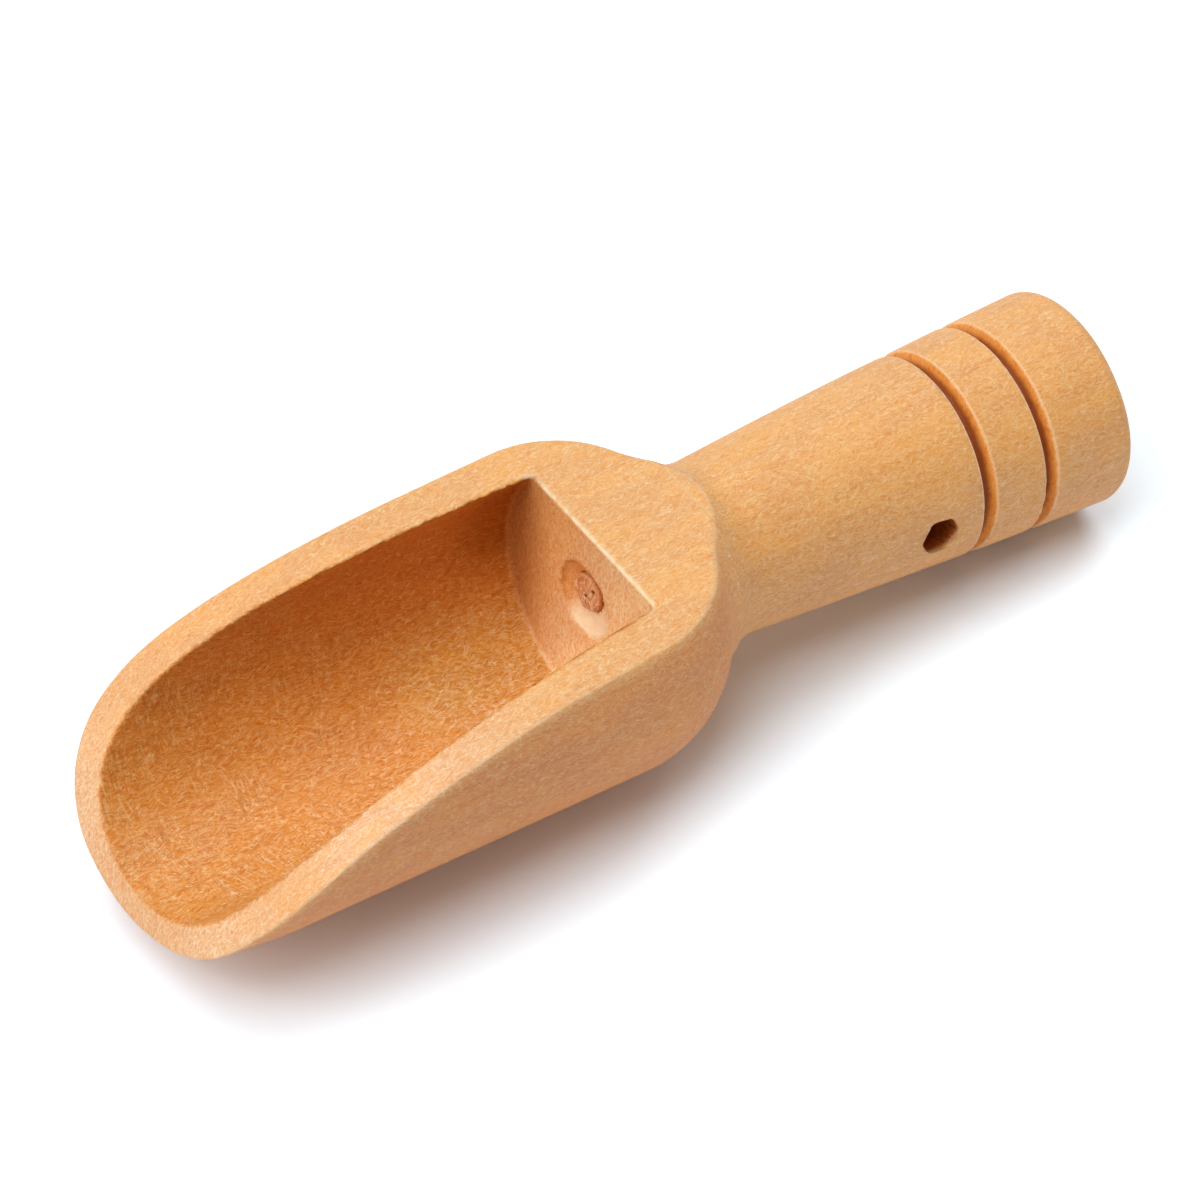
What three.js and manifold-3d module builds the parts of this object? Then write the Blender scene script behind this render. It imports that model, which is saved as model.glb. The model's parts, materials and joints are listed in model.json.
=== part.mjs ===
// Small turned wooden scoop: a bored bowl with a swept mouth, a tapered handle with two
// grooves and a cord hole, and the glued dowel that joins them.
// Millimetres, +Z up. The scoop is drawn along its turning axis, with x measured from the
// bowl's flat back wall towards the handle, and is then laid down the way it rests: on the
// bowl's shoulder and on the edge of the handle's end.
import * as THREE from 'three';
import { mergeVertices } from 'three/addons/utils/BufferGeometryUtils.js';
import Module from 'manifold-3d';

const wasm = await Module();
wasm.setup();

// Bowl
const BORE_RADIUS = 9.65;
const BORE_CORNER_RADIUS = 0.6;
const BOWL_WALL = 2.85;
const BOWL_REACH = 37.1;
const BACK_THICKNESS = 7.9;
const SHOULDER_ANGLE = 50;
const SHOULDER_FILLET = 9.25;
const LIP_EASE_LENGTH = 7.5;
const LIP_EASE_DEPTH = 0.57;

// Mouth: it rises steeply at the tip and runs out into a level deck behind the back wall
const MOUTH_DROP = 3.5;
const MOUTH_TIP_RISE = 13.65;
const MOUTH_DECK_SWEEP = 14.25;
const DECK_LEAD = 2.5;

// Handle
const HANDLE_LENGTH = 34.3;
const NECK_RADIUS = 6.5;
const FOOT_FLARE = 0.4;
const FOOT_COVE_RADIUS = 3.5;
const END_RADIUS = 8.27;
const END_FILLET = 1.1;
const FLANK_SWELL = 0.12;

// Grooves and cord hole, placed from the handle's end
const GROOVE_COUNT = 2;
const GROOVE_WIDTH = 0.86;
const GROOVE_DEPTH = 1.05;
const GROOVE_FROM_END = 7.15;
const GROOVE_PITCH = 5.4;
const CORD_HOLE_RADIUS = 1.5;
const CORD_HOLE_FROM_GROOVE = 4.15;

// Dowel and the countersink that its end sits in
const DOWEL_RADIUS = 1.5;
const DOWEL_REACH = 10;
const DOWEL_CHAMFER = 0.25;
const PIT_RADIUS = 2.75;
const PIT_DEPTH = 1.2;

// Clearances left for the glue
const GLUE_LINE = 0.1;
const DOWEL_END_ROOM = 0.6;

// Facets
const ROUND_FACETS = 72;
const SMALL_FACETS = 28;
const ARC_STEPS = 6;
const MOUTH_STEPS = 30;
const FLANK_STEPS = 6;

// Tools that cut run this far past what they cut
const OVERRUN = 2;
const MERGE_TOLERANCE = 1e-4;

// Sizes that follow from the ones above
const BOWL_RADIUS = BORE_RADIUS + BOWL_WALL;
const DECK_HEIGHT = BORE_RADIUS - MOUTH_DROP;
const SEAT_RADIUS = NECK_RADIUS + FOOT_FLARE;
const HANDLE_FOOT_X = BACK_THICKNESS + GLUE_LINE;
const HANDLE_END_X = HANDLE_FOOT_X + HANDLE_LENGTH;
const DOWEL_HOLE_RADIUS = DOWEL_RADIUS + GLUE_LINE;
const DOWEL_END_X = HANDLE_FOOT_X + DOWEL_REACH;
const GROOVE_CENTRES = Array.from(
  { length: GROOVE_COUNT },
  (_, i) => HANDLE_END_X - GROOVE_FROM_END - (GROOVE_COUNT - 1 - i) * GROOVE_PITCH,
);
const CORD_HOLE_X = GROOVE_CENTRES[0] - CORD_HOLE_FROM_GROOVE;

// The shoulder is a cone with its large corner rounded as far as the cone allows
const shoulderSlope = THREE.MathUtils.degToRad(SHOULDER_ANGLE);
const shoulderDrop = BOWL_RADIUS - SEAT_RADIUS;
const shoulderCornerX = BACK_THICKNESS - shoulderDrop / Math.tan(shoulderSlope);
const shoulderTangent = Math.min(
  SHOULDER_FILLET * Math.tan(shoulderSlope / 2),
  shoulderDrop / Math.sin(shoulderSlope),
);
const shoulderFillet = shoulderTangent / Math.tan(shoulderSlope / 2);
const shoulderArcX = shoulderCornerX - shoulderTangent;

// At rest the scoop touches the table along the lower common tangent of two arcs:
// the shoulder's fillet and the rounded edge of the handle's end
function restTilt() {
  const run = HANDLE_END_X - END_FILLET - shoulderArcX;
  const drop = (END_RADIUS - END_FILLET) - (BOWL_RADIUS - shoulderFillet);
  const reach = Math.hypot(run, drop);
  return Math.asin((shoulderFillet - END_FILLET) / reach) - Math.atan2(drop, run);
}
const REST_TILT = restTilt();

// Points on an arc about (x, radius), from one angle to the other, with 0 along the axis
function arc(x, radius, size, from, to, steps = ARC_STEPS) {
  return Array.from({ length: steps + 1 }, (_, i) => {
    const angle = from + ((to - from) * i) / steps;
    return new THREE.Vector2(radius + size * Math.sin(angle), x + size * Math.cos(angle));
  });
}

const at = (x, radius) => new THREE.Vector2(radius, x);

// A turned solid about the X axis, with one of its facets level underneath
function turned(profile, facets = ROUND_FACETS) {
  const geometry = new THREE.LatheGeometry(profile, facets, Math.PI / facets);
  return solid(geometry.rotateZ(-Math.PI / 2));
}

// A closed solid from a three.js geometry, ready to join and cut
function solid(geometry) {
  geometry.deleteAttribute('normal');
  geometry.deleteAttribute('uv');
  const merged = mergeVertices(geometry, MERGE_TOLERANCE);
  const corners = merged.index.array;
  const triangles = [];
  for (let i = 0; i < corners.length; i += 3) {
    const [a, b, c] = corners.slice(i, i + 3);
    if (a !== b && b !== c && c !== a) triangles.push(a, b, c);
  }
  return new wasm.Manifold(new wasm.Mesh({
    numProp: 3,
    vertProperties: new Float32Array(merged.attributes.position.array),
    triVerts: new Uint32Array(triangles),
  }));
}

// A named mesh from a finished solid
function piece(name, body, color, roughness) {
  const { vertProperties, triVerts } = body.getMesh();
  const geometry = new THREE.BufferGeometry();
  geometry.setAttribute('position', new THREE.BufferAttribute(vertProperties, 3));
  geometry.setIndex(new THREE.BufferAttribute(triVerts, 1));
  geometry.computeVertexNormals();
  const material = new THREE.MeshStandardMaterial({ color, roughness, metalness: 0 });
  const mesh = new THREE.Mesh(geometry, material);
  mesh.name = name;
  return mesh;
}

// Everything above the mouth's curve and its deck, as one tool across the whole width
function mouthCut() {
  const rise = Math.tan(REST_TILT);
  const deckAt = (x) => DECK_HEIGHT + rise * x;
  const front = -BOWL_REACH - OVERRUN;
  const back = HANDLE_END_X + OVERRUN;
  const top = Math.max(BOWL_RADIUS, deckAt(back)) + OVERRUN;
  const sweepEnd = -DECK_LEAD - MOUTH_DECK_SWEEP;
  const outline = new THREE.Shape();
  outline.moveTo(front, -BOWL_RADIUS - OVERRUN);
  outline.lineTo(-BOWL_REACH, -BOWL_RADIUS - OVERRUN);
  outline.lineTo(-BOWL_REACH, -BOWL_RADIUS);
  outline.bezierCurveTo(
    -BOWL_REACH, -BOWL_RADIUS + MOUTH_TIP_RISE,
    sweepEnd, deckAt(sweepEnd),
    -DECK_LEAD, deckAt(-DECK_LEAD),
  );
  outline.lineTo(back, deckAt(back));
  outline.lineTo(back, top);
  outline.lineTo(front, top);
  const depth = 2 * (BOWL_RADIUS + OVERRUN);
  const slab = new THREE.ExtrudeGeometry(outline, {
    depth,
    bevelEnabled: false,
    curveSegments: MOUTH_STEPS,
  });
  return solid(slab.rotateX(Math.PI / 2).translate(0, depth / 2, 0));
}

// Bowl: turned outside, bored from the front, countersunk and drilled for the dowel
function scoopBowl(mouth) {
  const tip = -BOWL_REACH;
  const lipRadius = BOWL_RADIUS - LIP_EASE_DEPTH;
  const ease = Array.from({ length: ARC_STEPS + 1 }, (_, i) => {
    const left = 1 - i / ARC_STEPS;
    return at(tip + (1 - left) * LIP_EASE_LENGTH, BOWL_RADIUS - LIP_EASE_DEPTH * left ** 2);
  });
  const shoulder = arc(
    shoulderArcX, BOWL_RADIUS - shoulderFillet, shoulderFillet,
    Math.PI / 2, Math.PI / 2 - shoulderSlope, 2 * ARC_STEPS,
  );
  const blank = turned([
    at(tip - OVERRUN, 0),
    at(tip - OVERRUN, lipRadius),
    ...ease,
    ...shoulder,
    at(BACK_THICKNESS, SEAT_RADIUS),
    at(BACK_THICKNESS, 0),
  ]);
  const corner = arc(
    -BORE_CORNER_RADIUS, BORE_RADIUS - BORE_CORNER_RADIUS, BORE_CORNER_RADIUS, Math.PI / 2, 0,
  );
  const bore = turned([
    at(tip - 2 * OVERRUN, 0),
    at(tip - 2 * OVERRUN, BORE_RADIUS),
    ...corner,
    at(0, PIT_RADIUS),
    at(PIT_DEPTH, DOWEL_HOLE_RADIUS),
    at(BACK_THICKNESS + OVERRUN, DOWEL_HOLE_RADIUS),
    at(BACK_THICKNESS + OVERRUN, 0),
  ]);
  return blank.subtract(bore).subtract(mouth);
}

// One groove of the handle: straight walls and a round bottom
function groove(centre, flankAt) {
  const half = GROOVE_WIDTH / 2;
  const [front, back] = [centre - half, centre + half];
  const floor = flankAt(centre) - GROOVE_DEPTH;
  return [
    at(front, flankAt(front)),
    ...arc(centre, floor + half, half, Math.PI, 2 * Math.PI),
    at(back, flankAt(back)),
  ];
}

// Handle: flared foot, swelling taper, grooves, rounded end, dowel hole and cord hole
function handle(mouth) {
  const flareAngle = Math.acos(1 - FOOT_FLARE / FOOT_COVE_RADIUS);
  const neckX = HANDLE_FOOT_X + FOOT_COVE_RADIUS * Math.sin(flareAngle);
  const taperEndX = HANDLE_END_X - END_FILLET;
  const flankAt = (x) => {
    const share = (x - neckX) / (taperEndX - neckX);
    const swell = 4 * FLANK_SWELL * share * (1 - share);
    return NECK_RADIUS + (END_RADIUS - NECK_RADIUS) * share + swell;
  };
  const cove = arc(
    neckX, NECK_RADIUS + FOOT_COVE_RADIUS, FOOT_COVE_RADIUS,
    1.5 * Math.PI - flareAngle, 1.5 * Math.PI,
  );
  const steps = Array.from(
    { length: FLANK_STEPS },
    (_, i) => neckX + ((CORD_HOLE_X - neckX) * (i + 1)) / FLANK_STEPS,
  );
  const end = arc(taperEndX, END_RADIUS - END_FILLET, END_FILLET, Math.PI / 2, 0);
  const holeEndX = DOWEL_END_X + DOWEL_END_ROOM;
  const body = turned([
    at(holeEndX + DOWEL_HOLE_RADIUS, 0),
    at(holeEndX, DOWEL_HOLE_RADIUS),
    at(HANDLE_FOOT_X, DOWEL_HOLE_RADIUS),
    ...cove,
    ...steps.map((x) => at(x, flankAt(x))),
    ...GROOVE_CENTRES.flatMap((centre) => groove(centre, flankAt)),
    ...end,
    at(HANDLE_END_X, 0),
  ]);
  const drillLength = 2 * (END_RADIUS + FLANK_SWELL + OVERRUN);
  const drill = new THREE.CylinderGeometry(
    CORD_HOLE_RADIUS, CORD_HOLE_RADIUS, drillLength, SMALL_FACETS,
  );
  return body.subtract(solid(drill.translate(CORD_HOLE_X, 0, 0))).subtract(mouth);
}

// Dowel: from the bottom of the countersink to near the end of the handle's blind hole
function neckDowel() {
  return turned([
    at(PIT_DEPTH, 0),
    at(PIT_DEPTH, DOWEL_RADIUS - DOWEL_CHAMFER),
    at(PIT_DEPTH + DOWEL_CHAMFER, DOWEL_RADIUS),
    at(DOWEL_END_X - DOWEL_CHAMFER, DOWEL_RADIUS),
    at(DOWEL_END_X, DOWEL_RADIUS - DOWEL_CHAMFER),
    at(DOWEL_END_X, 0),
  ], SMALL_FACETS);
}

// The scoop lies at its rest tilt, with the origin under the middle of its box
const mouth = mouthCut();
const scoop = new THREE.Group();
scoop.add(piece('scoop_bowl', scoopBowl(mouth), '#d8a468', 0.55));
scoop.add(piece('handle', handle(mouth), '#dcaa70', 0.55));
scoop.add(piece('neck_dowel', neckDowel(), '#c8925c', 0.7));
scoop.rotation.y = REST_TILT;

const box = new THREE.Box3().setFromObject(scoop, true);
const middle = box.getCenter(new THREE.Vector3());
scoop.position.set(-middle.x, -middle.y, -box.min.z);

const part = new THREE.Group();
part.add(scoop);

export default part;
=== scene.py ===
"""Looks of a small turned wooden scoop: bored bowl with a swept mouth, grooved handle, dowel."""

import json
import math

import bpy
import numpy as np
from mathutils import Matrix, Vector


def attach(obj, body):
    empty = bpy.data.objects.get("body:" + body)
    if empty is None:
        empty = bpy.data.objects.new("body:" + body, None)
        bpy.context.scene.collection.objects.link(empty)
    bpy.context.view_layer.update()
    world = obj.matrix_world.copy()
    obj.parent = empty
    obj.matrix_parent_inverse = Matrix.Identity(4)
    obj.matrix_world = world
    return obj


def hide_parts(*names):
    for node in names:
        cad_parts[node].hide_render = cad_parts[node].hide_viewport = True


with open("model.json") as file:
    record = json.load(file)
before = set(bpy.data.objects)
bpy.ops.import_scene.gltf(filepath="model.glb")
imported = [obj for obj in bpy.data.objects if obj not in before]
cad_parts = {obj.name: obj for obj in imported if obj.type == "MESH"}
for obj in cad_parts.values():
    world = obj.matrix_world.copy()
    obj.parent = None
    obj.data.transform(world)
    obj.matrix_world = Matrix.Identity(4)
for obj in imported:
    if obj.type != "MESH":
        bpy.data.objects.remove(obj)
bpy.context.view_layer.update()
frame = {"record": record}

MM = 0.001

# Bowl, in millimetres along the turning axis: x runs from the back wall towards the handle
BORE_RADIUS = 9.65
BORE_CORNER = 0.4
BOWL_RADIUS = 12.5
BOWL_TIP_X = -37.1
SHOULDER_ANGLE = math.radians(50)
SHOULDER_FILLET = 9.25
LIP_EASE_LENGTH = 7.5
LIP_EASE_DEPTH = 0.57
TIP_FULLNESS = 0.85
RIM_THINNED = 0.2
PIT_RADIUS = 2.9
PIT_DEPTH = 0.8
PIT_CENTRE = (0.25, 0.1)

# Mouth: a curve from the tip, then a straight deck that is level at rest
DECK_HEIGHT = 6.15
DECK_LEAD = 2.5
MOUTH_TIP_RISE = 13.65
MOUTH_DECK_SWEEP = 14.25

# Handle
SEAT_X = 8.0
SEAT_RADIUS = 6.9
NECK_RADIUS = 6.5
COVE_RADIUS = 3.5
NECK_FILLET = 2.2
END_X = 42.3
END_RADIUS = 8.27
END_FILLET = 1.1
FLANK_SWELL = 0.12
GROOVES = ((29.22, 30.36), (34.55, 35.63))
GROOVE_DEPTH = 1.05
GROOVE_FAR_LEAN = math.radians(14)
END_SAG = (-0.11, -0.12)
END_SHRINK = 0.08
END_LEAN = 0.038
CORD_HOLE_X = 25.6
CORD_HOLE_RADIUS = 1.5

# Dowel
DOWEL_RADIUS = 1.5
DOWEL_FRONT_X = 0.3
DOWEL_END_X = 18.0
DOWEL_CHAMFER = 0.25
DOWEL_CENTRE = (0.5, 0.35)

# Worn and sanded edges
RIM_EDGE = 0.24
REAR_EDGE = 0.3
FULL_EDGE = 0.2
BORE_EDGE = 0.11
CHORD_EDGE = 0.25
GROOVE_FRONT_EDGE = 0.04
GROOVE_FAR_EDGE = 0.14
HOLE_EDGE = 0.06
PIT_EDGE = 0.08
GROOVE_FOOT = 0.4
SEAT_LAP = 0.02

# A field's rough argument: 0 plain, 1 rough, or rough and not cut off at the glued seat
SEAMLESS = 2

# Boxes and cells of the pieces' grids
BOWL_BOX = ((-38, -13, -13), (9, 13, 9))
HANDLE_BOX = ((7.5, -9, -9), (43, 9, 9))
DOWEL_BOX = ((0, -2, -2), (18.6, 2.2, 2.2))
BOWL_CELL = 0.24
HANDLE_CELL = 0.2
DOWEL_CELL = 0.1
EDGE_PULL = 0.06
NORMAL_STEP = 0.03

# The scoop's own frame: the axis of the handle's end, and the back wall's middle on it
end_mount = next(m for m in frame["record"]["mounts"] if m["name"] == "handle_end")
AXIS = Vector(end_mount["axis"]).normalized()
SIDE = Vector((0, 1, 0))
ABOVE = AXIS.cross(SIDE).normalized()
ORIGIN = Vector(end_mount["pos_m"]) - AXIS * END_X * MM
SCOOP = Matrix((AXIS, SIDE, ABOVE)).transposed().to_4x4()
SCOOP.translation = ORIGIN
REST_TILT = math.asin(-AXIS.z)


def blend(low, high, value):
    """0 below low, 1 above high and smooth between them."""
    t = np.clip((value - low) / (high - low), 0, 1)
    return t * t * (3 - 2 * t)


def lattice(i, j, k, seed):
    """Repeatable scattered numbers from 0 to 1 at whole coordinates."""
    n = np.sin(i * 127.1 + j * 311.7 + k * 74.7 + seed * 53.3) * 43758.5453
    return n - np.floor(n)


def noise(x, y, z, size, seed):
    """Smooth noise from -1 to 1 with features of about the given size."""
    cells = [np.floor(v / size) for v in (x, y, z)]
    share = [v / size - c for v, c in zip((x, y, z), cells)]
    u, v, w = (t * t * (3 - 2 * t) for t in share)
    total = 0.0
    for a, wa in ((0, 1 - u), (1, u)):
        for b, wb in ((0, 1 - v), (1, v)):
            for c, wc in ((0, 1 - w), (1, w)):
                corner = lattice(cells[0] + a, cells[1] + b, cells[2] + c, seed)
                total = total + wa * wb * wc * corner
    return 2 * total - 1


def both(a, b, radius):
    """What is inside a and b, with the edge between them rounded."""
    rounded = np.hypot(np.maximum(a + radius, 0), np.maximum(b + radius, 0))
    return np.minimum(-radius, np.maximum(a, b)) + rounded


def without(a, b, radius):
    return both(a, -b, radius)


def deck_at(x):
    return DECK_HEIGHT + math.tan(REST_TILT) * x


def mouth_line():
    """Points of the mouth's outline in the middle plane, from below the tip to behind the deck."""
    sweep = -DECK_LEAD - MOUTH_DECK_SWEEP
    corners = np.array([
        (BOWL_TIP_X, -BOWL_RADIUS),
        (BOWL_TIP_X, -BOWL_RADIUS + MOUTH_TIP_RISE),
        (sweep, deck_at(sweep)),
        (-DECK_LEAD, deck_at(-DECK_LEAD)),
    ])
    t = np.linspace(0, 1, 240)[:, None]
    weights = ((1 - t) ** 3, 3 * t * (1 - t) ** 2, 3 * t * t * (1 - t), t ** 3)
    curve = sum(w * c for w, c in zip(weights, corners))
    start = corners[0] - (0, 10)
    return np.vstack([start, curve, (60, deck_at(60))])


class MouthDistance:
    """Distance to the mouth's outline over a plane, negative in the wood, kept as a table."""
    step = 0.1
    low = np.array([-42.0, -16.0])
    high = np.array([12.0, 16.0])

    def __init__(self):
        line = mouth_line()
        xs = np.arange(self.low[0], self.high[0], self.step)
        zs = np.arange(self.low[1], self.high[1], self.step)
        x, z = np.meshgrid(xs, zs, indexing="ij")
        nearest = np.full(x.shape, np.inf)
        self.table = np.zeros(x.shape)
        for (ax, az), (bx, bz) in zip(line[:-1], line[1:]):
            dx, dz = bx - ax, bz - az
            share = np.clip(((x - ax) * dx + (z - az) * dz) / (dx * dx + dz * dz), 0, 1)
            away = np.hypot(x - ax - share * dx, z - az - share * dz)
            side = np.where((x - ax) * dz - (z - az) * dx > 0, -1.0, 1.0)
            closer = away < nearest
            nearest = np.where(closer, away, nearest)
            self.table = np.where(closer, side * away, self.table)

    def __call__(self, x, z):
        i = np.clip((x - self.low[0]) / self.step, 0, self.table.shape[0] - 1.001)
        k = np.clip((z - self.low[1]) / self.step, 0, self.table.shape[1] - 1.001)
        i0, k0 = i.astype(int), k.astype(int)
        u, w = i - i0, k - k0
        t = self.table
        front = t[i0, k0] * (1 - w) + t[i0, k0 + 1] * w
        back = t[i0 + 1, k0] * (1 - w) + t[i0 + 1, k0 + 1] * w
        return front * (1 - u) + back * u


mouth_distance = MouthDistance()


def bowl_outside(x, radius, ease):
    """Distance to the turned outside: eased lip, cylinder, rounded shoulder and cone."""
    slope = math.tan(SHOULDER_ANGLE)
    corner_x = SEAT_X - (BOWL_RADIUS - SEAT_RADIUS) / slope
    tangent = SHOULDER_FILLET * math.tan(SHOULDER_ANGLE / 2)
    arc_x = corner_x - tangent
    arc_radius = BOWL_RADIUS - SHOULDER_FILLET
    eased = np.clip((BOWL_TIP_X + LIP_EASE_LENGTH - x) / LIP_EASE_LENGTH, 0, 1.2)
    barrel = radius - BOWL_RADIUS + ease * eased ** 2
    cone = (radius - SEAT_RADIUS) * math.cos(SHOULDER_ANGLE)
    cone = cone + (x - SEAT_X) * math.sin(SHOULDER_ANGLE)
    arc = np.hypot(x - arc_x, radius - arc_radius) - SHOULDER_FILLET
    angle = np.arctan2(x - arc_x, radius - arc_radius)
    return np.where(angle < 0, barrel, np.where(angle > SHOULDER_ANGLE, cone, arc))


def flank_at(x):
    flare = math.acos(1 - (SEAT_RADIUS - NECK_RADIUS) / COVE_RADIUS)
    neck_x = SEAT_X + COVE_RADIUS * math.sin(flare)
    share = (x - neck_x) / (END_X - END_FILLET - neck_x)
    flank = NECK_RADIUS + (END_RADIUS - NECK_RADIUS) * share
    flank = flank + 4 * FLANK_SWELL * share * (1 - share)
    before = np.clip(neck_x - np.maximum(x, SEAT_X), 0, COVE_RADIUS)
    cove = NECK_RADIUS + COVE_RADIUS - np.sqrt(COVE_RADIUS ** 2 - before ** 2)
    return np.where(x < neck_x, cove, flank)


def neck(outside, flank):
    """The shoulder and the handle's flank, with the sanded hollow between them."""
    return -both(-outside, -flank, NECK_FILLET)


def from_dowel(y, z, centre=DOWEL_CENTRE):
    return np.hypot(y - centre[0], z - centre[1])


def bowl_parts(x, y, z):
    radius = np.hypot(y, z)
    full = blend(-5.0, 2.5, y) * blend(13.5, 6.5, y)
    outside = bowl_outside(x, radius, LIP_EASE_DEPTH * (1 - TIP_FULLNESS * full))
    outside = neck(outside, radius - flank_at(np.minimum(x, SEAT_X)))
    thinned = blend(0.0, -6.0, y) * blend(-4.0, 1.0, z)
    thinned = thinned * blend(-35.0, -27.0, x) * blend(-3.0, -12.0, x)
    outside = outside + RIM_THINNED * thinned
    mouth = mouth_distance(x, z)
    bore = both(radius - BORE_RADIUS, x, BORE_CORNER)
    across = from_dowel(y, z, PIT_CENTRE)
    cup = np.hypot(across / PIT_RADIUS, x / PIT_DEPTH)
    steep = np.hypot(across / PIT_RADIUS ** 2, x / PIT_DEPTH ** 2)
    pit = cup * (cup - 1) / np.maximum(steep, 1e-6)
    hole = from_dowel(y, z) - DOWEL_RADIUS - SEAT_LAP
    return outside, mouth, bore, pit, hole


def bowl(x, y, z, worn, rough):
    outside, mouth, bore, pit, hole = bowl_parts(x, y, z)
    rear = blend(0.0, 4.0, x) * blend(2.0, -2.0, y)
    full = blend(-1.0, 6.0, y) * blend(-18.0, -26.0, x)
    rim = RIM_EDGE + (REAR_EDGE - RIM_EDGE) * rear + (FULL_EDGE - RIM_EDGE) * full
    chord = BORE_EDGE + (CHORD_EDGE - BORE_EDGE) * blend(-1.5, -0.5, x)
    if rough:
        outside = outside + 0.03 * noise(x, y, z, 7.0, 1) * blend(8.0, 6.0, x)
        outside = outside + 0.06 * blend(-28.0, -34.0, x) * noise(x, y, z, 3.7, 11)
        mouth = mouth + 0.03 * noise(x, y, 0 * z, 5.0, 2)
        pit = pit + 0.06 * noise(x, y, z, 0.9, 3) + 0.03 * noise(x, y, z, 0.35, 13)
        rim = rim * (1 + 0.4 * noise(x, y, z, 3.1, 4))
        frayed = blend(0.0, 4.0, y) * blend(0.0, 3.0, z)
        bore = bore + (0.02 + 0.07 * frayed) * noise(x, y, z, 0.45, 12) * blend(0.6, 0.0, -mouth)
    body = outside if rough == SEAMLESS else both(outside, x - SEAT_X - SEAT_LAP, 0.0)
    body = both(body, mouth, worn * rim)
    body = without(body, bore, worn * chord)
    body = without(body, pit, worn * PIT_EDGE)
    return without(body, hole, 0.0)


def groove_sides(x, radius, front, far):
    """Distances to a groove's two sides: a straight front wall, and a leaning far wall."""
    floor = flank_at(np.array(front)) - GROOVE_DEPTH
    depth = radius - floor
    back = far - GROOVE_DEPTH * math.tan(GROOVE_FAR_LEAN)
    leaning = (x - back) * math.cos(GROOVE_FAR_LEAN) - depth * math.sin(GROOVE_FAR_LEAN)
    return front - x, both(leaning, -depth, GROOVE_FOOT)


def cord_hole_distance(x, y, z, rough):
    """The drilled hole, torn to a rough six-sided mouth."""
    away = x - CORD_HOLE_X
    hole = np.hypot(away, z) - CORD_HOLE_RADIUS
    if rough:
        sides = [np.abs(away * math.cos(a) + z * math.sin(a)) for a in np.radians((30, 90, 150))]
        torn = np.maximum.reduce(sides) - 0.96 * CORD_HOLE_RADIUS
        hole = 0.1 * hole + 0.9 * torn + 0.1 * noise(x, 0.5 * y, z, 0.9, 5)
        hole = hole + (0.02 + 0.07 * blend(0.5, -0.8, z)) * noise(x, 0.5 * y, z, 0.22, 6)
    return hole


def handle_axis(x, y, z):
    """Radius from the handle's axis, which sags a little towards its end, and the end's lean."""
    share = np.clip((x - SEAT_X) / (END_X - SEAT_X), 0, 1) ** 2
    radius = np.hypot(y - END_SAG[0] * share, z - END_SAG[1] * share)
    return radius + END_SHRINK * share, END_LEAN * np.maximum(0, -(y + z)) / math.sqrt(2)


def handle(x, y, z, worn, rough):
    radius, lean = handle_axis(x, y, z)
    flank = neck(bowl_outside(x, radius, 0.0), radius - flank_at(x))
    ragged = 0.0
    if rough:
        flank = flank + 0.025 * noise(x, y, z, 6.0, 7) * blend(8.0, 10.0, x)
        ragged = 0.05 * noise(0.3 * x, y, z, 0.55, 8)
    body = both(flank, x - END_X - lean, END_FILLET)
    if rough != SEAMLESS:
        body = both(body, SEAT_X - SEAT_LAP - x, 0.0)
    deck = np.where(x < SEAT_X + 3, mouth_distance(x, z), -1.0)
    body = both(body, deck, worn * RIM_EDGE)
    for front, far in GROOVES:
        near_side, far_side = groove_sides(x, radius, front, far)
        before = both(body, -near_side, worn * GROOVE_FRONT_EDGE)
        behind = both(body, -far_side - ragged, worn * GROOVE_FAR_EDGE)
        body = np.minimum(before, behind)
    body = without(body, cord_hole_distance(x, y, z, rough), worn * HOLE_EDGE)
    socket = both(from_dowel(y, z) - DOWEL_RADIUS - SEAT_LAP, x - DOWEL_END_X - SEAT_LAP, 0.0)
    return without(body, socket, 0.0)


def dowel(x, y, z, worn, rough):
    radius = from_dowel(y, z)
    middle = (DOWEL_FRONT_X + DOWEL_END_X) / 2
    ends = np.abs(x - middle) - (DOWEL_END_X - DOWEL_FRONT_X) / 2
    if rough:
        ends = ends + 0.12 * noise(x, y, z, 0.7, 9) + 0.06 * noise(x, y, z, 0.3, 10)
    return both(radius - DOWEL_RADIUS, ends, worn * DOWEL_CHAMFER)


def slope_of(field, points, worn, rough, step=0.01):
    """The field's gradient at points, by central differences."""
    out = np.empty_like(points)
    for axis in range(3):
        shift = np.zeros(3)
        shift[axis] = step
        ahead, behind = points + shift, points - shift
        out[:, axis] = field(*ahead.T, worn, rough) - field(*behind.T, worn, rough)
    return out / (2 * step)


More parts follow.
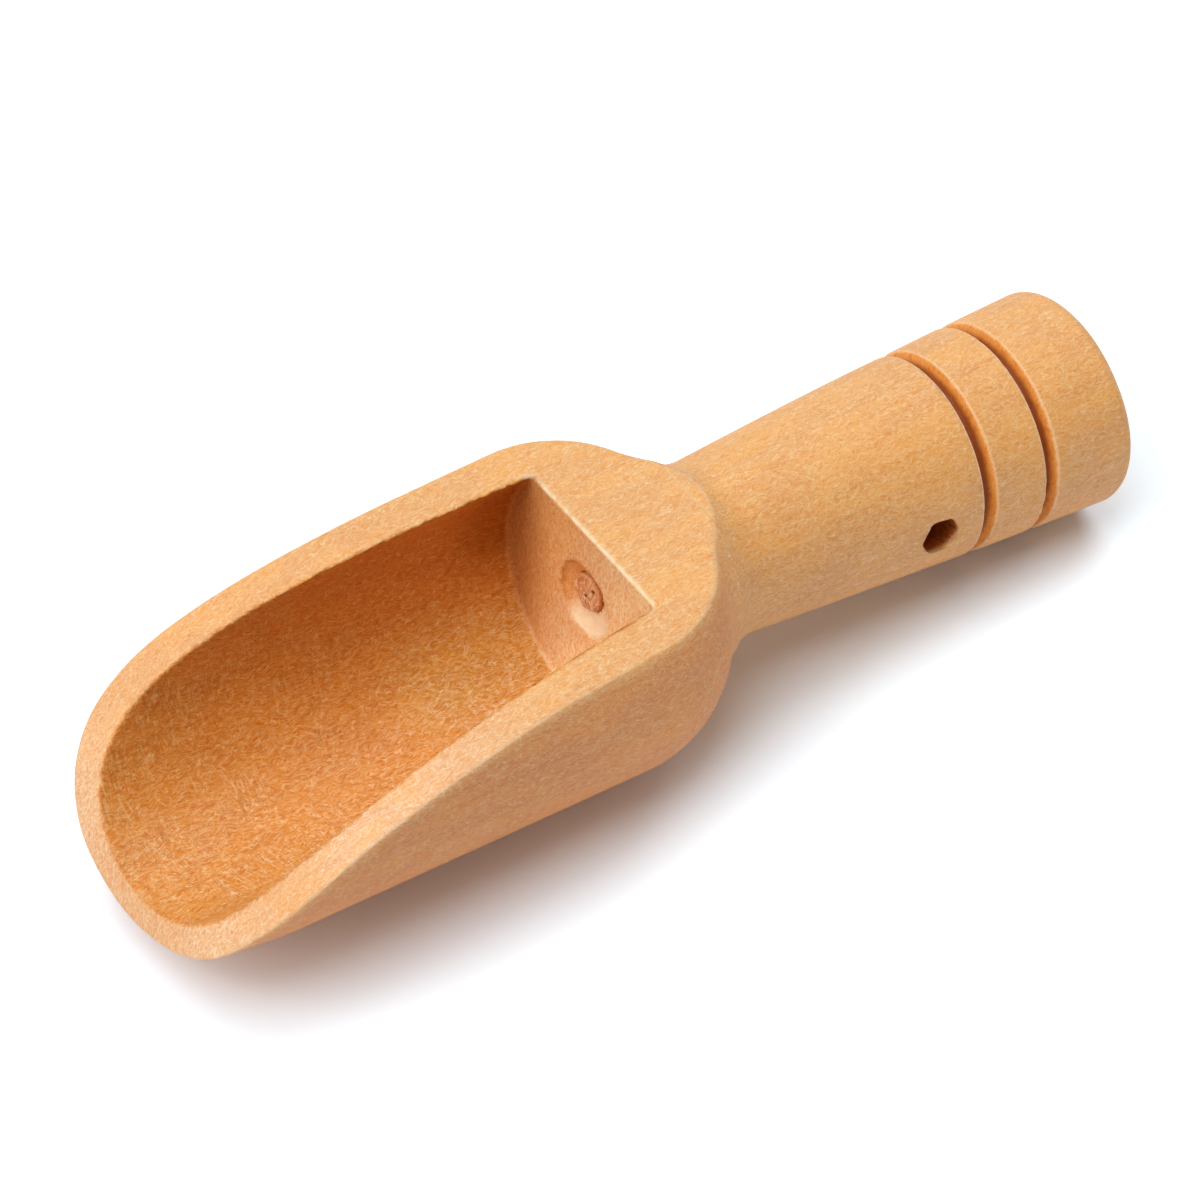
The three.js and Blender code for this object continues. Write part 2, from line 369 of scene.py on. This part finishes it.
def skin(field, low, high, cell):
    """Quads over the surface of a field, with vertices drawn to its sharp edges.

    The edges are found on the unworn field, and the vertices are then moved to the worn one.
    """
    lines = [np.arange(a, b + cell, cell) for a, b in zip(low, high)]
    values = field(*np.meshgrid(*lines, indexing="ij"), 0, 0)
    shape = np.array(values.shape)
    crossings, owners, quads = [], [], []
    for axis in range(3):
        first = [slice(None)] * 3
        second = [slice(None)] * 3
        first[axis], second[axis] = slice(None, -1), slice(1, None)
        here, there = values[tuple(first)], values[tuple(second)]
        at = np.argwhere((here < 0) != (there < 0))
        near, far = here[tuple(at.T)], there[tuple(at.T)]
        point = np.array(low) + at * cell
        point[:, axis] += cell * near / (near - far)
        crossings.append(point)
        b, c = (axis + 1) % 3, (axis + 2) % 3
        around = []
        for back_b, back_c in ((1, 1), (0, 1), (0, 0), (1, 0)):
            owner = at.copy()
            owner[:, b] -= back_b
            owner[:, c] -= back_c
            around.append(np.ravel_multi_index(owner.T, shape))
        around = np.stack(around, 1)
        owners.append(around)
        quads.append(np.where((near < 0)[:, None], around, around[:, ::-1]))
    crossings, owners, quads = map(np.vstack, (crossings, owners, quads))
    normals = slope_of(field, crossings, 0, 0)
    normals /= np.linalg.norm(normals, axis=1, keepdims=True)
    cells, index = np.unique(owners, return_inverse=True)
    index = index.reshape(owners.shape)
    count = np.bincount(index.ravel(), minlength=len(cells))[:, None]
    spread = lambda v: np.stack([
        np.bincount(index.ravel(), np.repeat(column, 4), len(cells)) for column in v.T
    ], 1)
    middle = spread(crossings) / count
    outer = spread((normals[:, :, None] * normals[:, None, :]).reshape(-1, 9)).reshape(-1, 3, 3)
    level = np.sum(normals * crossings, 1, keepdims=True)
    pull = spread(normals * level) - np.einsum("nij,nj->ni", outer, middle)
    points = middle + np.linalg.solve(outer + EDGE_PULL * np.eye(3), pull[:, :, None])[:, :, 0]
    corner = np.array(low) + np.stack(np.unravel_index(cells, shape), 1) * cell
    points = np.clip(points, corner, corner + cell)
    for _ in range(3):
        slope = slope_of(field, points, 1, 1)
        steep = np.maximum(np.sum(slope * slope, 1, keepdims=True), 0.2)
        points = points - field(*points.T, 1, 1)[:, None] * slope / steep
    faces = np.searchsorted(cells, quads)
    normals = slope_of(field, points, 1, SEAMLESS, NORMAL_STEP)
    normals /= np.linalg.norm(normals, axis=1, keepdims=True)
    return points, faces, normals


def piece(name, field, box, cell, node, slot, regions=None):
    """A smooth mesh of a field, laid down with the scoop, that stands for one CAD node."""
    points, faces, normals = skin(field, *box, cell)
    laid = np.array(SCOOP.to_3x3())
    mesh = bpy.data.meshes.new(name)
    mesh.vertices.add(len(points))
    mesh.vertices.foreach_set("co", (points * MM @ laid.T + np.array(ORIGIN)).ravel())
    mesh.loops.add(faces.size)
    mesh.loops.foreach_set("vertex_index", faces.ravel().astype(np.int32))
    mesh.polygons.add(len(faces))
    mesh.polygons.foreach_set("loop_start", np.arange(0, faces.size, 4, dtype=np.int32))
    mesh.polygons.foreach_set("use_smooth", np.ones(len(faces), bool))
    mesh.update(calc_edges=True)
    mesh.validate()
    mesh.normals_split_custom_set_from_vertices((normals @ laid.T).tolist())
    marks = regions(*points.T) if regions else {}
    marks["edge"] = field(*points.T, 1, 0) - field(*points.T, 0, 0)
    for region, values in marks.items():
        layer = mesh.attributes.new(region, "FLOAT", "POINT")
        layer.data.foreach_set("value", values.astype(np.float32))
    made = bpy.data.objects.new(name, mesh)
    bpy.context.scene.collection.objects.link(made)
    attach(made, "root")
    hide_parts(node)
    return made


def bowl_regions(x, y, z):
    outside, mouth, bore, pit, _ = bowl_parts(x, y, z)
    rim = blend(0.35, 0.12, np.abs(bore)) * blend(0.3, 0.12, np.abs(mouth))
    flank = blend(0.3, 0.1, np.abs(outside)) * blend(0.2, 1.0, -mouth)
    return {
        "inside": blend(0.25, 0.05, np.abs(bore)) * blend(-0.05, -0.3, x),
        "wall": blend(0.25, 0.05, np.abs(bore)) * blend(-0.3, -0.05, x),
        "cut": blend(0.3, 0.1, np.abs(mouth)) * blend(-4.0, -26.0, x),
        "outside": flank * blend(8.0, 5.5, x),
        "pit": blend(0.15, 0.03, np.abs(pit)) * blend(-0.02, 0.1, x),
        "chord": rim * blend(-0.9, -0.3, x),
    }


def handle_regions(x, y, z):
    radius, _ = handle_axis(x, y, z)
    depth = flank_at(x) - radius
    within = sum(blend(a - 0.3, a, x) * blend(b + 0.3, b, x) for a, b in GROOVES)
    return {
        "groove": within * blend(0.02, 0.2, depth),
        # Marks for painted shade deep in the grooves and inside the cord hole
        "painted_groove_shade": within * blend(0.55, 0.95, depth),
        "hole": blend(0.3, 0.05, cord_hole_distance(x, y, z, 1)) * blend(0.02, 0.5, depth),
    }


scoop_bowl = piece(
    "bowl", bowl, BOWL_BOX, BOWL_CELL, "scoop_bowl", "bowl_wood", bowl_regions,
)
scoop_handle = piece(
    "grip", handle, HANDLE_BOX, HANDLE_CELL, "handle", "handle_wood", handle_regions,
)
scoop_dowel = piece("dowel", dowel, DOWEL_BOX, DOWEL_CELL, "neck_dowel", "dowel_wood")


# Colours of the wood
BASE = (0.835, 0.425, 0.13, 1)
DULL = (0.77, 0.39, 0.14, 1)
STREAK = (0.68, 0.30, 0.085, 1)
PALE = (0.90, 0.66, 0.38, 1)
END_GRAIN = (0.88, 0.52, 0.24, 1)
TURNED_WOOD = (BASE, DULL, STREAK, PALE, END_GRAIN)
CREAM = (0.96, 0.78, 0.52, 1)
SCRAPED = (0.45, 0.15, 0.02, 1)
PINHOLE = (0.16, 0.04, 0.015, 1)
DOWEL_WOOD = (
    (0.68, 0.27, 0.085, 1), (0.58, 0.22, 0.075, 1), (0.44, 0.14, 0.04, 1),
    (0.84, 0.46, 0.22, 1), (0.66, 0.26, 0.085, 1),
)

# Tints that are multiplied in: of marks in the wood, and of places on the bowl and handle
MOTTLE = (0.9, 0.76, 0.6, 1)
PORES = (0.9, 0.72, 0.54, 1)
DENTS = (0.88, 0.7, 0.54, 1)
NEAR_RIM = (1.07, 1.18, 1.45, 1)
TIP_RIM = (0.96, 0.88, 0.75, 1)
BORE_PORES = (0.84, 0.66, 0.45, 1)
# Painted shade: the bore's far wall, which faces the near side, is darker
PAINTED_SHADE_BORE_FAR = (0.93, 0.83, 0.6, 1)
# Painted light on the bore's floor, and painted shade high in its corner by the back wall
PAINTED_LIGHT_BORE_FLOOR = (1.03, 1.33, 1.75, 1)
PAINTED_SHADE_BORE_HIGH = (0.72, 0.62, 0.25, 1)
# Painted shade and painted light on the back wall and in the pit
PAINTED_SHADE_WALL_EDGE = (0.6, 0.47, 0.33, 1)
PAINTED_LIGHT_WALL_LOW = (1.05, 1.2, 1.3, 1)
PAINTED_SHADE_WALL_FAR = (0.96, 0.78, 0.54, 1)
PAINTED_LIGHT_WALL_NEAR = (1.16, 1.22, 1.18, 1)
PAINTED_SHADE_PIT_FAR = (0.88, 0.68, 0.42, 1)
# Painted shading: a warmer tint where the handle faces this way
PAINTED_FACING_TINT = (1.0, 0.95, 0.84, 1)
PAINTED_TINT_FACING = Vector((0, -0.61, 0.79))

# Tints of the meshes' regions: of the wood, and of its pale fibres
BOWL_SHADES = (
    ("inside", (0.85, 0.64, 0.26, 1), (0.98, 0.88, 0.76, 1)),
    ("outside", (0.92, 0.77, 0.7, 1), (0.93, 0.82, 0.74, 1)),
    ("cut", (1.02, 0.99, 1.1, 1), (1.0, 1.0, 1.0, 1)),
)
# The grooves are tinted deeper orange; their depths and the cord hole get painted shade
HANDLE_SHADES = (
    ("groove", (1.15, 0.88, 0.38, 1), (1.0, 0.6, 0.25, 1)),
    ("painted_groove_shade", (0.36, 0.2, 0.1, 1), (0.36, 0.2, 0.1, 1)),
    ("hole", (0.5, 0.2, 0.04, 1), (0.5, 0.22, 0.06, 1)),
)

# Scraper marks: scale, shift and colour; pinholes: place from the dowel's middle, and size
SCRAPES = (((3.6, 0.7, 0.7), 15, PALE), ((3.0, 0.6, 0.6), 33, SCRAPED))
DOWEL_PINHOLES = ((-0.04, -0.17, 0.13), (-0.78, 0.83, 0.14), (-1.1, -0.7, 0.1))

BOWL_SEED = 3.0
HANDLE_SEED = 11.0
DOWEL_SEED = 19.0
TURNED_ROUGHNESS = 0.55
TORN_ROUGHNESS = 0.7
SPECULAR_LEVEL = 0.35
BUMP_STRENGTH = 0.2
BUMP_DEPTH = 0.03


def node(tree, kind, inputs=None, **settings):
    """A shader node with its settings and with its inputs set or linked."""
    made = tree.nodes.new("ShaderNode" + kind)
    for name, value in settings.items():
        setattr(made, name, value)
    for socket, value in (inputs or {}).items():
        if isinstance(value, bpy.types.NodeSocket):
            tree.links.new(value, made.inputs[socket])
        else:
            made.inputs[socket].default_value = value
    return made


class Wood:
    """Nodes of one wood, with streaks and fibres along the scoop's axis and end grain across it."""

    def __init__(self, name):
        self.material = bpy.data.materials.new(name)
        self.material.use_nodes = True
        self.tree = self.material.node_tree
        self.tree.nodes.clear()
        coords = node(self.tree, "TexCoord")
        self.normal = coords.outputs["Normal"]
        self.place = node(self.tree, "Mapping", {
            "Vector": coords.outputs["Object"],
            "Location": ORIGIN,
            "Rotation": (0, REST_TILT, 0),
            "Scale": (MM, MM, MM),
        }, vector_type="TEXTURE").outputs[0]
        parts = node(self.tree, "SeparateXYZ", {0: self.place})
        self.along, self.aside, self.above = parts.outputs
        squares = [self.times(v, v) for v in (self.aside, self.above)]
        self.radius = self.math("SQRT", self.math("ADD", *squares))

    def math(self, operation, a, b=0.0):
        return node(self.tree, "Math", {0: a, 1: b}, operation=operation).outputs[0]

    def vector(self, operation, a, b, output=0):
        return node(self.tree, "VectorMath", {0: a, 1: b}, operation=operation).outputs[output]

    def times(self, product, *factors):
        for factor in factors:
            product = self.math("MULTIPLY", product, factor)
        return product

    def off(self, value, middle):
        return self.math("ABSOLUTE", self.math("SUBTRACT", value, middle))

    def fade(self, value, low, high):
        """0 at low and 1 at high, smooth between."""
        made = node(self.tree, "MapRange", {
            "Value": value, "From Min": low, "From Max": high, "To Min": 0.0, "To Max": 1.0,
        }, interpolation_type="SMOOTHSTEP")
        return made.outputs["Result"]

    def band(self, value, middle, width):
        """1 at the middle value, fading to 0 at the width from it."""
        return self.fade(self.off(value, middle), width, 0.3 * width)

    def mix(self, factor, a, b, blend_type="MIX"):
        inputs = {0: factor, 6: a, 7: b}
        return node(self.tree, "Mix", inputs, data_type="RGBA", blend_type=blend_type).outputs[2]

    def paint(self, color, *factors):
        """A colour laid over the wood's, by the product of the factors."""
        self.color = self.mix(self.times(*factors), self.color, color)

    def shade(self, tint, *factors):
        """A tint multiplied into the wood's colour, by the product of the factors."""
        self.color = self.mix(self.times(*factors), self.color, tint, "MULTIPLY")

    def stretch(self, place, scale, shift=(0, 0, 0)):
        return node(self.tree, "Mapping", {
            "Vector": place, "Scale": scale, "Location": shift,
        }, vector_type="POINT").outputs[0]

    def noise(self, place, detail=0.0, rough=0.5, output="Fac"):
        return node(self.tree, "TexNoise", {
            "Vector": place, "Scale": 1.0, "Detail": detail, "Roughness": rough,
        }).outputs[output]

    def bent(self, scale, amount, shift):
        """The place, pushed about by a noise, so that what follows it curls."""
        push = self.noise(self.stretch(self.place, (scale,) * 3, shift), output="Color")
        push = self.vector("SUBTRACT", push, (0.5, 0.5, 0.5))
        push = self.vector("MULTIPLY", push, (amount,) * 3)
        return self.vector("ADD", self.place, push)

    def lines(self, place, scale, shift, width):
        """Thin lines where a stretched noise crosses its middle value."""
        value = self.noise(self.stretch(place, scale, shift))
        return self.fade(self.off(value, 0.5), width, 0.0)

    def facing(self, direction, low, high):
        """0 to 1 as the surface turns towards a direction."""
        turned = self.vector("DOT_PRODUCT", self.normal, direction, "Value")
        return self.fade(turned, low, high)

    def mark(self, name):
        return node(self.tree, "Attribute", attribute_name=name).outputs["Fac"]

    def finish(self, piece, roughness):
        """The shader, with the fibres raised a little, on the piece."""
        bump = node(self.tree, "Bump", {
            "Height": self.height, "Strength": BUMP_STRENGTH, "Distance": BUMP_DEPTH * MM,
        })
        shader = node(self.tree, "BsdfPrincipled", {
            "Base Color": self.color, "Roughness": roughness, "Normal": bump.outputs[0],
            "Specular IOR Level": SPECULAR_LEVEL,
        })
        node(self.tree, "OutputMaterial", {"Surface": shader.outputs[0]})
        piece.data.materials.append(self.material)


def wood(name, colors, seed, shades=()):
    """Wood with patches, streaks and fibres; each shade tints the mesh's region of that name."""
    base, dull, streak, pale, end = colors
    w = Wood(name)
    shifts = iter([(seed + 7 * i, 2 * seed, 3 * seed) for i in range(20)])

    def curled_noise(bend, amount, scale, detail, rough):
        place = w.bent(bend, amount, next(shifts))
        return w.noise(w.stretch(place, scale, next(shifts)), detail, rough)

    # Warm and dull patches, and faint streaks along the grain
    patch = w.noise(w.stretch(w.place, (0.16, 0.42, 0.42), next(shifts)), 3.0, 0.6)
    w.color = w.mix(w.fade(patch, 0.38, 0.62), dull, base)
    narrow = curled_noise(0.12, 0.8, (0.05, 1.5, 1.5), 2.0, 0.5)
    w.paint(streak, w.fade(narrow, 0.5, 0.75), 0.4)
    flecks = curled_noise(0.5, 0.6, (0.4, 1.7, 1.7), 2.0, 0.55)
    w.paint(streak, w.fade(flecks, 0.52, 0.72), 0.18)
    # Across the grain the wood is pinker and mottled, but not at the glued seat
    across = w.math("ADD", w.facing(AXIS, 0.55, 0.95), w.facing(-AXIS, 0.55, 0.95))
    across = w.times(across, w.fade(w.off(w.along, SEAT_X), 0.3, 1.2))
    w.paint(end, across, 0.75)
    mottle = curled_noise(0.8, 0.8, (1.2, 2.4, 1.1), 2.0, 0.6)
    w.shade(MOTTLE, w.fade(mottle, 0.5, 0.3), across, 0.6)
    fine, torn = pale, CREAM
    for region, tint, fine_tint in shades:
        mark = w.mark(region)
        w.shade(tint, mark)
        fine = w.mix(mark, fine, fine_tint, "MULTIPLY")
        torn = w.mix(mark, torn, fine_tint, "MULTIPLY")
    # Short curled fibres, pale and dark
    curled = w.bent(1.2, 0.65, next(shifts))
    strands = w.noise(w.stretch(curled, (1.6, 7.5, 7.5), next(shifts)))
    fibres = w.lines(curled, (1.0, 5.4, 5.4), next(shifts), 0.09)
    hairs = w.lines(w.bent(1.4, 0.8, next(shifts)), (1.4, 4.4, 4.4), next(shifts), 0.07)
    sparse = w.noise(w.stretch(w.place, (1.6, 2.6, 2.6), next(shifts)), 0.0, 0.6)
    w.hairs = w.times(hairs, w.fade(sparse, 0.46, 0.62))
    ends = w.lines(w.bent(0.9, 0.7, next(shifts)), (2.0, 3.4, 1.3), next(shifts), 0.1)
    ends = w.times(ends, across)
    dents = curled_noise(0.9, 0.7, (3.0, 4.6, 2.2), 0.0, 0.5)
    w.pores = w.fade(strands, 0.47, 0.3)
    grit = w.noise(w.stretch(w.place, (5.0, 10.0, 10.0), next(shifts)), 1.0, 0.5)
    w.shade(PORES, w.math("ADD", w.times(w.pores, 0.45), w.times(w.fade(grit, 0.6, 0.35), 0.4)))
    w.shade(DENTS, w.fade(dents, 0.5, 0.32), across, 0.7)
    w.paint(fine, w.fade(strands, 0.54, 0.72), 0.2)
    w.paint(fine, fibres, 0.38)
    w.paint(fine, w.hairs, 0.6)
    w.paint(torn, ends, 0.5)
    # Worn edges are paler
    w.paint(pale, w.fade(w.mark("edge"), 0.01, 0.06), 0.3)
    raised = w.math("SUBTRACT", w.math("ADD", fibres, w.hairs), w.times(w.pores, 0.6))
    w.height = w.math("ADD", raised, ends)
    return w


def bowl_wood():
    w = wood("bowl_wood", TURNED_WOOD, BOWL_SEED, BOWL_SHADES)
    inside, wall, cut, pit, chord = map(w.mark, ("inside", "wall", "cut", "pit", "chord"))
    far_side = w.math("ADD", w.aside, w.times(w.above, 0.4))
    # The near rim is pinker, and the rim at the tip is duller
    w.shade(NEAR_RIM, cut, w.fade(w.aside, 0.0, -7.0), w.fade(w.along, -33.0, -27.0))
    w.shade(TIP_RIM, cut, w.band(w.aside, 0.0, 8.0), w.fade(w.along, -30.0, -35.0))
    # The bore is rougher than the outside, and it was scraped near the tip
    w.shade(BORE_PORES, inside, w.pores, 0.5)
    w.paint(END_GRAIN, inside, w.hairs, 0.4)
    scraped = w.noise(w.stretch(w.place, (0.16, 0.3, 0.3), (4, 1, 2)), 1.0, 0.5)
    scraped = w.times(w.fade(scraped, 0.44, 0.6), w.fade(w.along, -12.0, -24.0), inside)
    for scale, shift, tone in SCRAPES:
        scrape = w.lines(w.bent(0.5, 0.5, (shift, 2, 5)), scale, (shift, 6, 1), 0.06)
        w.paint(tone, scrape, scraped, 0.45)
    # Painted shade: the bore's far wall, which faces the near side, is darker
    w.shade(PAINTED_SHADE_BORE_FAR, inside, w.facing(-SIDE, 0.1, 0.9))
    # Near the back wall the bore gets painted light at its floor, and painted shade high on the far
    # side, in the corner
    floor = w.times(w.fade(w.above, -3.5, -7.5), w.fade(w.aside, 0.0, 4.0))
    w.shade(PAINTED_LIGHT_BORE_FLOOR, inside, floor, w.fade(w.along, -15.0, -8.0))
    w.shade(PAINTED_SHADE_BORE_HIGH, inside, w.fade(w.above, -5.5, -1.0), w.fade(w.along, -7.0, -1.5))
    # The back wall gets painted shade on its far side and edge, and painted light low and on its
    # near side; the pit gets painted shade on its far side, and is pale below from painted light
    # and pale torn fibres
    w.shade(PAINTED_SHADE_WALL_EDGE, wall, w.fade(w.aside, 3.5, 8.5))
    w.shade(PAINTED_LIGHT_WALL_LOW, wall, w.fade(w.above, -3.0, -7.0), w.fade(w.aside, 5.0, 1.0))
    w.shade(PAINTED_SHADE_WALL_FAR, wall, w.fade(far_side, -1.0, 6.0))
    w.shade(PAINTED_LIGHT_WALL_NEAR, wall, w.fade(far_side, 1.0, -4.0))
    w.shade(PAINTED_SHADE_PIT_FAR, pit, w.fade(far_side, 0.4, 2.2))
    w.paint(CREAM, pit, w.fade(w.above, 0.4, -1.2), w.fade(far_side, 1.9, -0.2), 0.7)
    # A ragged pale line along the deck's edge over the wall: pale worn wood, and a painted
    # highlight where the rounded edge catches the light
    ragged = w.noise(w.stretch(w.place, (1.0, 1.6, 1.6)), 2.0, 0.6)
    w.paint(CREAM, chord, w.fade(ragged, 0.2, 0.65))
    # A thin pale crease where the bore meets the back wall
    ring = w.times(w.fade(w.radius, 9.1, 9.3), w.fade(w.radius, 9.9, 9.7))
    w.paint(PALE, w.band(w.along, -0.16, 0.07), ring, w.fade(far_side, 4.0, -2.0), 0.5)
    return w


def handle_wood():
    w = wood("handle_wood", TURNED_WOOD, HANDLE_SEED, HANDLE_SHADES)
    # Painted shading: the handle is tinted warmer where it faces up and towards the mouth's near
    # side, where less white sheen shows
    w.shade(PAINTED_FACING_TINT, w.facing(PAINTED_TINT_FACING, 0.7, 1.0))
    # The grooves' lips are pale: worn edges, and painted highlights where they catch the light
    lip = w.fade(w.mark("groove"), 0.8, 0.3)
    for front, far in GROOVES:
        w.paint(CREAM, w.band(w.along, front - 0.05, 0.07), lip, 0.7)
        w.paint(CREAM, w.band(w.along, far + 0.05, 0.1), lip, 0.2)
    return w


def dowel_wood():
    w = wood("dowel_wood", DOWEL_WOOD, DOWEL_SEED)
    # The dowel's end is torn, with pale lines below and dark pinholes
    torn = w.lines(w.bent(0.9, 1.6, (5, 5, 5)), (0.9, 0.9, 0.9), (7, 7, 7), 0.035)
    w.paint(CREAM, torn, w.fade(w.above, 1.2, -0.3), 0.75)
    for side, above, size in DOWEL_PINHOLES:
        middle = (DOWEL_FRONT_X, side + DOWEL_CENTRE[0], above + DOWEL_CENTRE[1])
        apart = w.vector("DISTANCE", w.place, middle, "Value")
        w.paint(PINHOLE, w.fade(apart, 1.6 * size, 0.7 * size))
    return w


bowl_wood().finish(scoop_bowl, TURNED_ROUGHNESS)
handle_wood().finish(scoop_handle, TURNED_ROUGHNESS)
dowel_wood().finish(scoop_dowel, TORN_ROUGHNESS)


# Table: white for the camera, and a little greyer for the light that it throws back
TABLE_SEEN = (1.17, 1.31, 1.42, 1)
TABLE_BOUNCE = (0.94, 0.92, 0.97, 1)
bpy.ops.mesh.primitive_plane_add(size=6)
table = bpy.context.object
table.name = "table"
paper = bpy.data.materials.new("paper")
paper.use_nodes = True
paper.node_tree.nodes.clear()
path = node(paper.node_tree, "LightPath")
seen = node(paper.node_tree, "BsdfDiffuse", {"Color": TABLE_SEEN})
bounce = node(paper.node_tree, "BsdfDiffuse", {"Color": TABLE_BOUNCE})
mixed = node(paper.node_tree, "MixShader", {
    0: path.outputs["Is Camera Ray"], 1: bounce.outputs[0], 2: seen.outputs[0],
})
node(paper.node_tree, "OutputMaterial", {"Surface": mixed.outputs[0]})
table.data.materials.append(paper)

# Light: a long soft box along the scoop, made of three wide suns, and a white room
KEY_SIZE = math.radians(41)
KEYS = (
    ("left", -0.80, 0.12, 0.204),
    ("middle", -0.30, -0.05, 0.405),
    ("right", 0.45, 0.27, 0.297),
)
ROOM_LEVEL = 0.175
ROOM_COLOR = (0.99, 0.98, 1.0, 1)
for name, x, y, strength in KEYS:
    towards = Vector((x, y, math.sqrt(1 - x * x - y * y)))
    sun = bpy.data.lights.new("key_" + name, "SUN")
    sun.angle = KEY_SIZE
    sun.energy = strength * math.pi / towards.z
    key = bpy.data.objects.new("key_" + name, sun)
    bpy.context.scene.collection.objects.link(key)
    key.rotation_euler = towards.to_track_quat("Z", "Y").to_euler()

room = bpy.data.worlds.new("room")
bpy.context.scene.world = room
room.use_nodes = True
room.node_tree.nodes.clear()
path = node(room.node_tree, "LightPath")
mirrored = node(room.node_tree, "Math", {
    0: path.outputs["Is Glossy Ray"], 1: path.outputs["Is Transmission Ray"],
}, operation="MAXIMUM")
shown = node(room.node_tree, "Math", {
    0: path.outputs["Is Camera Ray"], 1: mirrored.outputs[0],
}, operation="MAXIMUM")
lit = node(room.node_tree, "Background", {"Color": ROOM_COLOR, "Strength": ROOM_LEVEL})
white = node(room.node_tree, "Background", {"Color": (1, 1, 1, 1), "Strength": 1.0})
mixed = node(room.node_tree, "MixShader", {
    0: shown.outputs[0], 1: lit.outputs[0], 2: white.outputs[0],
})
node(room.node_tree, "OutputWorld", {"Surface": mixed.outputs[0]})

# Camera
CAMERA_AZIMUTH = math.radians(-34.506)
CAMERA_ELEVATION = math.radians(48.418)
CAMERA_ROLL = math.radians(-0.408)
CAMERA_AIM = Vector((0.280, 2.128, 9.0)) * MM
CAMERA_DISTANCE = 565.08 * MM
lens = bpy.data.cameras.new("camera")
lens.sensor_width = 36
lens.lens = 240
lens.clip_start = 0.01
camera = bpy.data.objects.new("camera", lens)
bpy.context.scene.collection.objects.link(camera)
back = Vector((
    math.sin(CAMERA_AZIMUTH) * math.cos(CAMERA_ELEVATION),
    -math.cos(CAMERA_AZIMUTH) * math.cos(CAMERA_ELEVATION),
    math.sin(CAMERA_ELEVATION),
))
level = Vector((math.cos(CAMERA_AZIMUTH), math.sin(CAMERA_AZIMUTH), 0))
upright = back.cross(level)
right = level * math.cos(CAMERA_ROLL) + upright * math.sin(CAMERA_ROLL)
camera.matrix_world = Matrix((right, back.cross(right), back)).transposed().to_4x4()
camera.location = CAMERA_AIM + back * CAMERA_DISTANCE
bpy.context.scene.camera = camera
bpy.context.scene.view_settings.view_transform = "Standard"
